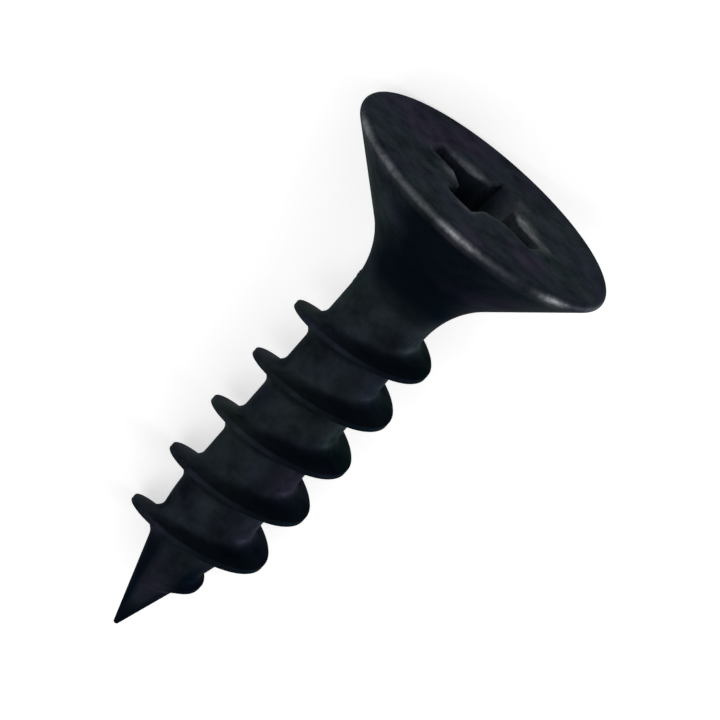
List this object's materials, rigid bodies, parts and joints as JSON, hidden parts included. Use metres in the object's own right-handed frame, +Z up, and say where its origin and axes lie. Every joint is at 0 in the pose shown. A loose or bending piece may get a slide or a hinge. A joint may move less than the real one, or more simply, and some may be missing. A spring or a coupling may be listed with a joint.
{
  "type": "drywall screw",
  "caption": "Black bugle head screw with a coarse single-start thread, a sharp gimlet point and a cross recess, lying on its side.",
  "frame": {"origin": "on the ground under the middle of the lying screw's bounding box", "axes": "+Z up, +X along the screw towards its head, whose axis rises by the lying tilt of about 11 degrees, so the screw's axis lies in the XZ plane with the point towards -X"},
  "size_m": [0.0162, 0.0082, 0.0082],
  "materials": {
    "phosphated_steel": "black phosphate coating on steel, satin, slightly mottled"
  },
  "bodies": {
    "root": {"screw": "phosphated_steel"}
  },
  "joints": []
}
